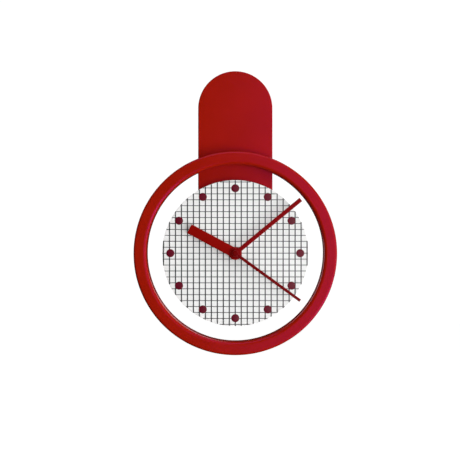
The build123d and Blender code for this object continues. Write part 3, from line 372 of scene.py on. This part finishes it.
copper_wire = brushed("copper_wire", (0.62, 0.21, 0.07), 0.30, (400, 400, 9000))
shaft_point = (shaft_x, 0.0, shaft_z)
turned_brass = lathe_cut("turned_brass", (0.66, 0.46, 0.19), 0.28, shaft_point)
arbor_steel = lathe_cut("arbor_steel", (0.55, 0.55, 0.56), 0.24, shaft_point)

# ---- back plate ----
PLATE_EDGE = 1.2 * MM
RIM_EDGE = 0.4 * MM
RIM_STEPS = 3
HOLD = 0.5 * MM  # keeps a flat face flat beside a rounded edge


def plate_shell():
    """The round-ended shell: inner face, inner wall, rear rim, outer wall, rounded front edge."""
    body = bmesh.new()
    loops = [stadium(WALL + HOLD, SKIN_REAR), stadium(WALL, SKIN_REAR)]
    for along, across in quarter(RIM_EDGE, RIM_STEPS):
        loops.append(stadium(WALL - along, plate_high.y - across))
    for along, across in reversed(quarter(RIM_EDGE, RIM_STEPS)):
        loops.append(stadium(along, plate_high.y - across))
    loops.append(stadium(0, plate_low.y + PLATE_EDGE + HOLD))
    for along, across in quarter(PLATE_EDGE, 8):
        loops.append(stadium(along, plate_low.y + across))
    loops.append(stadium(PLATE_EDGE + HOLD, plate_low.y))
    loft(body, loops)
    return outward(body)


RIB = 1.5 * MM
RIB_TOP = SKIN_REAR + 4 * MM
RIB_FOOT = SKIN_REAR - 1 * MM
RIB_HEIGHTS = (-36 * MM, -96 * MM, -128 * MM, -230 * MM)
NEST_GAP = 0.3 * MM
HANGER_BOSS = 4.3 * MM
HANGER_SCREW_HOLE = 1.2 * MM
HANGER_HOLE_FLOOR = -13.5 * MM
case_low, case_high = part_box("movement_case")
hanger_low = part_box("hanger_plate")[0]
screws_low, screws_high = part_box("hanger_screws")
hanger_screw_x = screws_high.x - (screws_high.z - screws_low.z) / 2


def plate_ribs():
    """Cross ribs, the nest round the movement and the hanger's two bosses, as closed shells."""
    shells = []
    for height in RIB_HEIGHTS:
        drop = max(0.0, plate_low.z + plate_radius - height)
        half = sqrt((plate_radius - WALL / 2) ** 2 - drop ** 2)
        rib_low = (shaft_x - half, RIB_FOOT, height - RIB / 2)
        rib_high = (shaft_x + half, RIB_TOP, height + RIB / 2)
        shells.append(block(rib_low, rib_high))
    nest_low = (case_low.x - NEST_GAP, case_low.z - NEST_GAP)
    nest_high = (case_high.x + NEST_GAP, case_high.z + NEST_GAP)
    outer_low = (nest_low[0] - RIB, RIB_FOOT, nest_low[1] - RIB)
    outer_high = (nest_high[0] + RIB, RIB_TOP, nest_high[1] + RIB)
    outer = block(outer_low, outer_high)
    hollow = block(
        (nest_low[0], RIB_FOOT - PAST, nest_low[1]), (nest_high[0], RIB_TOP + PAST, nest_high[1])
    )
    shells.append(combine(outer, [hollow], "DIFFERENCE"))
    for side in (-1, 1):
        shells.append(rod((side * hanger_screw_x, 0), HANGER_BOSS, hanger_low.y, RIB_FOOT))
    return shells


RING_MIDDLE = ring_radius - RING_WIDTH / 2
RING_SCREW_TURNS = (-17, -7, 7, 17)
RING_SCREW_HOLE = 1.65 * MM
SCREW_HOLE_STEPS = 32


def plate_holes():
    """Cutters for the shaft, the ring's four screws and the hanger's two screws."""
    rear, front = plate_high.y + PAST, plate_low.y - PAST
    cutters = [rod((shaft_x, shaft_z), SHAFT_HOLE, rear, front)]
    for turn in RING_SCREW_TURNS:
        place = (shaft_x + RING_MIDDLE * sin(radians(turn)), shaft_z + RING_MIDDLE * cos(radians(turn)))
        cutters.append(rod(place, RING_SCREW_HOLE, rear, front, SCREW_HOLE_STEPS))
    for side in (-1, 1):
        place = (side * hanger_screw_x, 0)
        cutters.append(rod(place, HANGER_SCREW_HOLE, rear, HANGER_HOLE_FLOOR, SCREW_HOLE_STEPS))
    return cutters


plate = combine(plate_shell(), plate_ribs(), "UNION")
plate = combine(plate, plate_holes(), "DIFFERENCE")
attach(piece_from("plate_shell", plate, [red_plastic], ["back_plate"]), "root")

# ---- ring ----
RING_OUTER_EDGE = 3.0 * MM
RING_INNER_EDGE = 4.0 * MM
RING_STEPS = 288


def ring_profile():
    """The channel's section as (radius, y), from the inner rim round the front to the outer rim."""
    inner, outer = ring_radius - RING_WIDTH, ring_radius
    front, back = ring_low.y, ring_high.y
    points = [(inner + WALL, front + WALL), (inner + WALL, back)]
    for along, across in reversed(quarter(RIM_EDGE, RIM_STEPS)):
        points.append((inner + along, back - across))
    points.append((inner, front + RING_INNER_EDGE + HOLD))
    for along, across in quarter(RING_INNER_EDGE, 10):
        points.append((inner + along, front + across))
    points.append((inner + RING_INNER_EDGE + HOLD, front))
    points.append((outer - RING_OUTER_EDGE - HOLD, front))
    for along, across in reversed(quarter(RING_OUTER_EDGE, 10)):
        points.append((outer - along, front + across))
    points.append((outer, front + RING_OUTER_EDGE + HOLD))
    for along, across in quarter(RIM_EDGE, RIM_STEPS):
        points.append((outer - along, back - across))
    points.append((outer - WALL, back))
    points.append((outer - WALL, front + WALL))
    return points


ring = turned(ring_profile(), (shaft_x, shaft_z), RING_STEPS)
notch = block(
    (plate_low.x - NEST_GAP, plate_low.y, shaft_z),
    (plate_high.x + NEST_GAP, ring_high.y + PAST, shaft_z + 1.2 * ring_radius),
)
ring = combine(ring, [notch], "DIFFERENCE")
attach(piece_from("ring_moulding", ring, [red_plastic], ["ring_frame"]), "root")

# ---- dial, printed grid and hour dots ----
DIAL_EDGE = 0.25 * MM
DIAL_STEPS = 192
dial_profile = [(SHAFT_HOLE, dial_low.y), (SHAFT_HOLE, dial_high.y)]
dial_profile += [(dial_radius - DIAL_EDGE, dial_high.y), (dial_radius, dial_high.y - DIAL_EDGE)]
dial_profile += [(dial_radius - along, dial_low.y + across) for along, across in quarter(DIAL_EDGE, 4)]
dial_profile.append((dial_radius - DIAL_EDGE - HOLD, dial_low.y))
dial = turned(dial_profile, (shaft_x, shaft_z), DIAL_STEPS)
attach(piece_from("dial_plate", dial, [dial_white], ["dial_disc"]), "root")


class Tree:
    """A Geometry Nodes tree with named inputs, run once on an object and left as a plain mesh."""

    def __init__(self, name, inputs):
        self.group = bpy.data.node_groups.new(name, "GeometryNodeTree")
        face = self.group.interface
        face.new_socket("Geometry", in_out="INPUT", socket_type="NodeSocketGeometry")
        self.values = {}
        for label, (kind, value) in inputs.items():
            socket = face.new_socket(label, in_out="INPUT", socket_type=f"NodeSocket{kind}")
            self.values[socket.identifier] = value
        face.new_socket("Geometry", in_out="OUTPUT", socket_type="NodeSocketGeometry")
        self.start = self.group.nodes.new("NodeGroupInput")
        self.end = self.group.nodes.new("NodeGroupOutput")

    def add(self, kind, properties=None, **links):
        """Adds a node; each keyword names an input and gives a socket or a value."""
        made = self.group.nodes.new(kind)
        for key, value in (properties or {}).items():
            setattr(made, key, value)
        for key, value in links.items():
            self.feed(made, key.replace("_", " "), value)
        return made

    def feed(self, made, key, value):
        """Gives an input, by its name or its number, a socket or a value."""
        if key.isdigit():
            socket = made.inputs[int(key)]
        else:
            named = [entry for entry in made.inputs if entry.name.lower() == key.lower()]
            socket = next(entry for entry in named if entry.enabled)
        if isinstance(value, bpy.types.NodeSocket):
            self.group.links.new(value, socket)
        else:
            socket.default_value = value

    def maths(self, operation, first, second=None):
        """Adds a Math node and returns its result."""
        made = self.add("ShaderNodeMath", {"operation": operation})
        self.feed(made, "0", first)
        if second is not None:
            self.feed(made, "1", second)
        return made.outputs[0]

    def finish(self, geometry, material):
        """Ends the tree in Realize Instances and Set Material."""
        real = self.add("GeometryNodeRealizeInstances", Geometry=geometry)
        painted = self.add("GeometryNodeSetMaterial", Geometry=real.outputs[0], Material=material)
        self.group.links.new(painted.outputs[0], self.end.inputs[0])

    def run(self, made):
        """Runs the tree on an object and swaps the object's mesh for the plain result."""
        step = made.modifiers.new("repeat", "NODES")
        step.node_group = self.group
        for identifier, value in self.values.items():
            step[identifier] = value
        evaluated = made.evaluated_get(bpy.context.evaluated_depsgraph_get())
        mesh = bpy.data.meshes.new_from_object(evaluated)
        made.modifiers.clear()
        old = made.data
        made.data = mesh
        mesh.name = old.name
        bpy.data.meshes.remove(old)
        return made


def seed_object(name, body):
    """The object that a tree runs on, holding the shape that it repeats."""
    mesh = bpy.data.meshes.new(name)
    body.to_mesh(mesh)
    body.free()
    made = bpy.data.objects.new(name, mesh)
    bpy.context.scene.collection.objects.link(made)
    return made


LEVEL_SHARE = 0.85  # level strips are thinner, so that upright ones lie over them without a flicker


def printed_grid():
    """Thin ink strips across the dial, each as long as the dial is wide at its place."""
    tree = Tree("dial_grid", {
        "Upright Pitch": ("Float", 7.37 * MM),
        "Level Pitch": ("Float", 7.31 * MM),
        "Reach": ("Float", dial_radius - DIAL_EDGE),
        "Upright Width": ("Float", 1.42 * MM),
        "Level Width": ("Float", 0.86 * MM),
        "Thickness": ("Float", 0.16 * MM),
        "Lines": ("Int", 25),
    })
    start = tree.start.outputs
    half = tree.maths("MULTIPLY", tree.maths("SUBTRACT", start["Lines"], 1.0), -0.5)
    sets = []
    for upright in (True, False):
        step = tree.add("ShaderNodeCombineXYZ")
        begin = tree.add("ShaderNodeCombineXYZ")
        axis = "X" if upright else "Z"
        pitch = start["Upright Pitch" if upright else "Level Pitch"]
        tree.feed(step, axis, pitch)
        tree.feed(begin, axis, tree.maths("MULTIPLY", half, pitch))
        line = tree.add(
            "GeometryNodeMeshLine", {"mode": "OFFSET"},
            Count=start["Lines"], Start_Location=begin.outputs[0], Offset=step.outputs[0],
        )
        place = tree.add("GeometryNodeInputPosition")
        apart = tree.add("ShaderNodeSeparateXYZ", Vector=place.outputs[0])
        away = apart.outputs[axis]
        reach_squared = tree.maths("MULTIPLY", start["Reach"], start["Reach"])
        square = tree.maths("SUBTRACT", reach_squared, tree.maths("MULTIPLY", away, away))
        length = tree.maths("MULTIPLY", tree.maths("SQRT", tree.maths("MAXIMUM", square, 0.0)), 2.0)
        size = tree.add("ShaderNodeCombineXYZ")
        tree.feed(size, "X", start["Upright Width"] if upright else length)
        thickness = start["Thickness"]
        if not upright:
            thickness = tree.maths("MULTIPLY", thickness, LEVEL_SHARE)
        tree.feed(size, "Y", thickness)
        tree.feed(size, "Z", length if upright else start["Level Width"])
        cube = tree.add("GeometryNodeMeshCube", Size=(1.0, 1.0, 1.0))
        copies = tree.add(
            "GeometryNodeInstanceOnPoints",
            Points=line.outputs[0], Instance=cube.outputs[0], Scale=size.outputs[0],
        )
        sets.append(copies.outputs[0])
    together = tree.add("GeometryNodeJoinGeometry")
    for copies in sets:
        tree.group.links.new(copies, together.inputs[0])
    dial_front = (shaft_x, dial_low.y, shaft_z)
    moved = tree.add("GeometryNodeTransform", Geometry=together.outputs[0], Translation=dial_front)
    tree.finish(moved.outputs[0], grid_ink)
    return tree.run(seed_object("dial_grid", bmesh.new()))


grid = printed_grid()
grid.data.materials.clear()
grid.data.materials.append(grid_ink)
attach(grid, "root")

MARKER_RADIUS = 5.0 * MM
MARKER_SEAT = 0.3 * MM
MARKER_EDGE = 0.55 * MM
MARKER_SKIRT = 0.25  # shares of a marker's height: its straight skirt, its rounded edge, its crown
MARKER_ROUND = 0.55
MARKER_CROWN = 0.2
EDGE_STEPS = 8
marker_circle = (marker_high.x - marker_low.x) / 2 - MARKER_RADIUS


def hour_dots():
    """Twelve low domed buttons on a circle round the shaft."""
    rise = marker_high.y - marker_low.y
    profile = [(MARKER_RADIUS, MARKER_SEAT), (MARKER_RADIUS, -MARKER_SKIRT * rise)]
    for k in range(1, EDGE_STEPS + 1):
        turn = pi / 2 * k / EDGE_STEPS
        radius = MARKER_RADIUS - MARKER_EDGE * (1 - cos(turn))
        profile.append((radius, -rise * (MARKER_SKIRT + MARKER_ROUND * sin(turn))))
    for share in (0.6, 0.3):
        profile.append((MARKER_RADIUS * share, -rise * (1 - MARKER_CROWN * share * share)))
    profile.append((POLE, -rise))
    button = turned(profile, (0, 0), 40, closed=False)
    tree = Tree("hour_dots", {
        "Count": ("Int", 12),
        "Circle": ("Float", marker_circle),
    })
    start = tree.start.outputs
    circle = tree.add("GeometryNodeMeshCircle", Vertices=start["Count"], Radius=start["Circle"])
    stood = tree.add("GeometryNodeTransform", Geometry=circle.outputs[0], Rotation=(radians(90), 0.0, 0.0))
    copies = tree.add("GeometryNodeInstanceOnPoints", Points=stood.outputs[0], Instance=start["Geometry"])
    marker_rear = (shaft_x, marker_high.y, shaft_z)
    moved = tree.add("GeometryNodeTransform", Geometry=copies.outputs[0], Translation=marker_rear)
    tree.finish(moved.outputs[0], marker_gloss)
    return tree.run(seed_object("hour_dots", button))


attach(dressed(hour_dots(), [marker_gloss], ["hour_markers"]), "root")

# ---- hands ----
HAND_EDGE = 0.7 * MM
HUB_STEPS = 56
FLAT_FACE = 0.95


def paint_edge_shade(body):
    """Gives the rounded edges and sides of a hand the second finish, a darker red that paints the shade on
    those edges.
    """
    body.normal_update()
    for face in body.faces:
        # painted shade: faces that are not flat front or back get the darker finish
        face.material_index = 0 if abs(face.normal.y) > FLAT_FACE else 1


def bar_hand(name, node_name, angle, reach, width, hub, bore, body_name, enamel):
    """A flat bar with a square end and a round hub, its front edges rounded."""
    low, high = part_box(node_name)
    half = width / 2
    meet = asin(half / hub)
    points = []
    for k in range(HUB_STEPS + 1):
        turn = meet + (2 * pi - 2 * meet) * k / HUB_STEPS
        points.append((hub * cos(turn), hub * sin(turn)))
    points += [(reach, -half), (reach, half)]
    body = bmesh.new()
    turn = radians(90 - angle)
    loops = []
    for depth in (high.y, low.y):
        loops.append([
            (shaft_x + x * cos(turn) - y * sin(turn), depth, shaft_z + x * sin(turn) + y * cos(turn))
            for x, y in points
        ])
    loft(body, loops)
    outward(body)
    front = [edge for edge in body.edges if all(abs(end.co.y - low.y) < TOUCH for end in edge.verts)]
    bmesh.ops.bevel(
        body, geom=front, offset=HAND_EDGE, segments=4, profile=0.5, affect="EDGES", clamp_overlap=True
    )
    hole = rod((shaft_x, shaft_z), bore, high.y + PAST, low.y - PAST)
    body = combine(body, [hole], "DIFFERENCE")
    paint_edge_shade(body)
    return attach(piece_from(name, body, enamel, [node_name]), body_name)


bar_hand(
    "hour_pointer", "hour_hand", angle=298.3, reach=64 * MM, width=12.2 * MM, hub=8 * MM,
    bore=2.61 * MM, body_name="hour", enamel=hour_enamel,
)
bar_hand(
    "minute_pointer", "minute_hand", angle=50.5, reach=104 * MM, width=5.3 * MM, hub=6.5 * MM,
    bore=1.76 * MM, body_name="minute", enamel=minute_enamel,
)
bar_hand(
    "second_pointer", "second_hand", angle=126, reach=98 * MM, width=3.6 * MM, hub=3.8 * MM,
    bore=0.81 * MM, body_name="second", enamel=second_enamel,
)

CAP_EDGE = 0.9 * MM
cap_radius = (cap_high.x - cap_low.x) / 2
cap_profile = [(cap_radius, cap_high.y), (cap_radius, cap_low.y + CAP_EDGE)]
for along, across in quarter(CAP_EDGE, 6):
    cap_profile.append((cap_radius - along, cap_low.y + across))
cap_profile.append((POLE, cap_low.y))
cap = turned(cap_profile, (shaft_x, shaft_z), HUB_STEPS, closed=False)
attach(piece_from("second_boss", cap, [second_enamel[0]], ["second_hand_cap"]), "second")

# ---- finishes of the CAD nodes that stay ----
node_finishes = {
    "ring_back_cover": red_plastic,
    "dial_spacer": spacer_white,
    "hanger_plate": zinc_plate,
    "hanger_screws": zinc_screw,
    "ring_screws": zinc_screw,
    "core_screws": zinc_screw,
    "movement_case": case_black,
    "movement_cover": case_black,
    "setting_knob": case_black,
    "middle_plate": frame_white,
    "coil_bobbin": frame_white,
    "fifth_wheel": gear_white,
    "second_wheel": gear_white,
    "third_wheel": gear_white,
    "minute_wheel": gear_white,
    "reverser_wheel": gear_white,
    "hour_wheel": gear_white,
    "rotor_pinion": gear_white,
    "threaded_bush": turned_brass,
    "bush_nut": turned_brass,
    "bush_washer": turned_brass,
    "rubber_gasket": rubber_black,
    "second_arbor": arbor_steel,
    "rotor_magnet": magnet_grey,
    "stator": stator_steel,
    "coil_core": stator_steel,
    "coil_winding": copper_wire,
    "circuit_board": board_green,
    "quartz_crystal": crystal_can,
    "chip_blob": blob_black,
    "battery_can": cell_sleeve,
    "battery_button": cell_nickel,
    "battery_contact_positive": contact_nickel,
    "battery_contact_negative": contact_nickel,
}
for name, finish in node_finishes.items():
    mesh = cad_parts[name].data
    mesh.materials.clear()
    mesh.materials.append(finish)

# ---- floor, light and camera ----
FLOOR_DROP = 0.95
FLOOR_RADIUS = 9.0
floor_z = plate_low.z - FLOOR_DROP
floor_body = bmesh.new()
bmesh.ops.create_circle(floor_body, cap_ends=True, segments=64, radius=FLOOR_RADIUS)
for vertex in floor_body.verts:
    vertex.co.z = floor_z
floor_mesh = bpy.data.meshes.new("floor")
floor_body.to_mesh(floor_mesh)
floor_body.free()
floor = bpy.data.objects.new("floor", floor_mesh)
bpy.context.scene.collection.objects.link(floor)
floor_finish, _, floor_shader = surface("pale_floor", (0.9, 0.9, 0.9), 0.9)
floor_shader.inputs["Emission Color"].default_value = (1, 1, 1, 1)
floor_shader.inputs["Emission Strength"].default_value = 1.0
floor_mesh.materials.append(floor_finish)
floor.visible_diffuse = False
floor.visible_glossy = False

BACKDROP_STRENGTH = 1.05  # what the camera sees
ROOM_STRENGTH = 0.012  # what the room gives to the object
world = bpy.data.worlds.new("studio")
bpy.context.scene.world = world
world.use_nodes = True
room = world.node_tree
room.nodes.clear()
seen = node(room, "ShaderNodeBackground", Color=(1, 1, 1, 1), Strength=BACKDROP_STRENGTH)
given = node(room, "ShaderNodeBackground", Color=(1, 1, 1, 1), Strength=ROOM_STRENGTH)
path = node(room, "ShaderNodeLightPath")
mixed = node(room, "ShaderNodeMixShader")
out = node(room, "ShaderNodeOutputWorld")
room.links.new(path.outputs["Is Camera Ray"], mixed.inputs[0])
room.links.new(given.outputs[0], mixed.inputs[1])
room.links.new(seen.outputs[0], mixed.inputs[2])
room.links.new(mixed.outputs[0], out.inputs[0])


middle = (cad_low + cad_high) / 2


def around(turn, rise, away):
    """A point at a distance from the object's middle, turned to the right and raised, in degrees."""
    flat = away * cos(radians(rise))
    across = flat * sin(radians(turn))
    forward = flat * cos(radians(turn))
    return (middle.x + across, middle.y - forward, middle.z + away * sin(radians(rise)))


def softbox(name, place, width, height, power):
    """A soft rectangular light that looks at the object's middle."""
    lamp = bpy.data.lights.new(name, "AREA")
    lamp.shape = "RECTANGLE"
    lamp.size = width
    lamp.size_y = height
    lamp.energy = power
    made = bpy.data.objects.new(name, lamp)
    made.location = place
    made.rotation_euler = (middle - Vector(place)).to_track_quat("-Z", "Y").to_euler()
    made.visible_camera = False
    bpy.context.scene.collection.objects.link(made)


softbox("key_softbox", around(33, -4, 2.0), 2.45, 1.9, 29.5)
softbox("side_softbox", around(72, -14, 1.8), 1.0, 1.4, 13.2)
softbox("low_softbox", around(50, -32, 1.8), 1.2, 1.0, 20)
softbox("left_softbox", around(-62, 0, 2.0), 1.2, 1.6, 1.2)
softbox("top_softbox", around(0, 58, 1.8), 1.8, 1.0, 9.0)
softbox("overhead_softbox", around(0, 78, 1.7), 1.8, 1.0, 16)
softbox("rear_softbox", around(150, 25, 2.2), 1.6, 1.6, 26)
softbox("rear_left_softbox", around(-140, 12, 2.2), 1.2, 1.6, 18)

CAMERA_DISTANCE = 1.25
FOCAL_LENGTH = 79.9
SENSOR_WIDTH = 36.0
SHIFT_ACROSS = -0.0115
SHIFT_UP = -0.0378
CLIP_END = 50.0
lens = bpy.data.cameras.new("camera")
lens.lens = FOCAL_LENGTH
lens.sensor_width = SENSOR_WIDTH
lens.shift_x = SHIFT_ACROSS
lens.shift_y = SHIFT_UP
lens.clip_end = CLIP_END
camera = bpy.data.objects.new("camera", lens)
camera.location = (shaft_x, ring_low.y - CAMERA_DISTANCE, middle.z)
camera.rotation_euler = (radians(90), 0, 0)
bpy.context.scene.collection.objects.link(camera)
bpy.context.scene.camera = camera
bpy.context.scene.view_settings.view_transform = "Standard"
